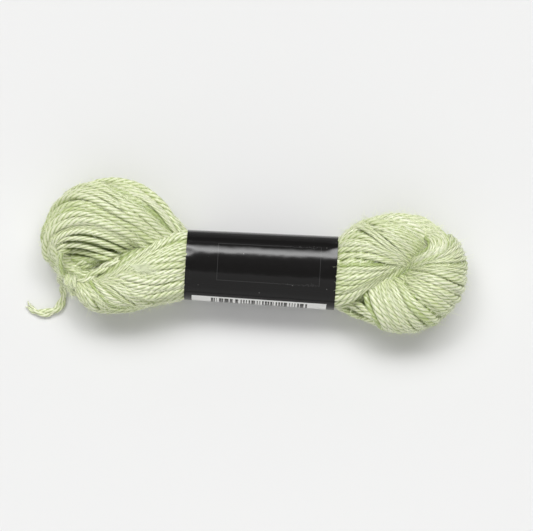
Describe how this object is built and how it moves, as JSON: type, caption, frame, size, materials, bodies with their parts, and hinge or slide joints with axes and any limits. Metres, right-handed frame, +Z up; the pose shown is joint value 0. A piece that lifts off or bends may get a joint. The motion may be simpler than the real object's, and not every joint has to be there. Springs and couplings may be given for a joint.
{
  "type": "skein of embroidery floss",
  "caption": "Small twisted skein of pale green silk floss, folded on itself into rosette ends, held at its middle by a black paper band and closed by a knotted tie with a loose end.",
  "frame": {"origin": "middle of the skein's footprint on the surface it lies on, the loose tie left out", "axes": "+X along the paper band towards the tighter rosette, +Y across it, +Z up from the surface"},
  "size_m": [0.1142, 0.0358, 0.0208],
  "materials": {
    "silk_floss": "lustrous pale mint green spun silk, plied strands with soft highlights and a little loose fibre",
    "band_paper": "glossy coated black paper with a narrow white printed strip at its front edge",
    "silk_tie": "one plied strand of the same silk, fuzzy at its knot and cut end"
  },
  "bodies": {
    "root": {"skein": "silk_floss", "band": "band_paper", "tie_thread": "silk_tie", "tie_knot": "silk_tie"}
  },
  "joints": []
}
